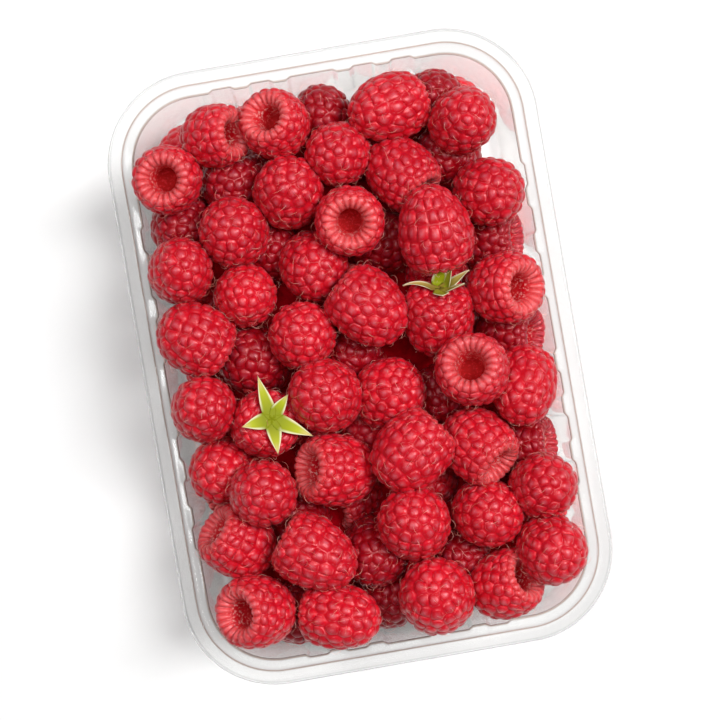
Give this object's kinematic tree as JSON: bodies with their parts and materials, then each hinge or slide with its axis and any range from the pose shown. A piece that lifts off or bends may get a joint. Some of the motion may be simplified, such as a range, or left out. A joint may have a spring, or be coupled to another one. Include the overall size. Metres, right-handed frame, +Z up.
{
  "type": "punnet of raspberries",
  "caption": "Clear shallow plastic tray with a flat rim and ribbed walls, heaped above its rim with ripe red berries, a few showing their hollow ends and some keeping green leaves.",
  "frame": {"origin": "on the table under the middle of the tray", "axes": "+X across the tray, +Y along it, +Z up"},
  "size_m": [0.131, 0.187, 0.0606],
  "materials": {
    "clear_plastic": "clear thin formed plastic sheet, glossy, nearly colourless",
    "berry": "ripe raspberry skin: soft red beads with a fine pale bloom and a dull shine",
    "leaf": "yellow-green sepals with pale downy edges"
  },
  "bodies": {
    "root": {"tray": "clear_plastic", "berry_heap": "berry", "leaves_top": "leaf", "leaves_side": "leaf"}
  },
  "joints": []
}
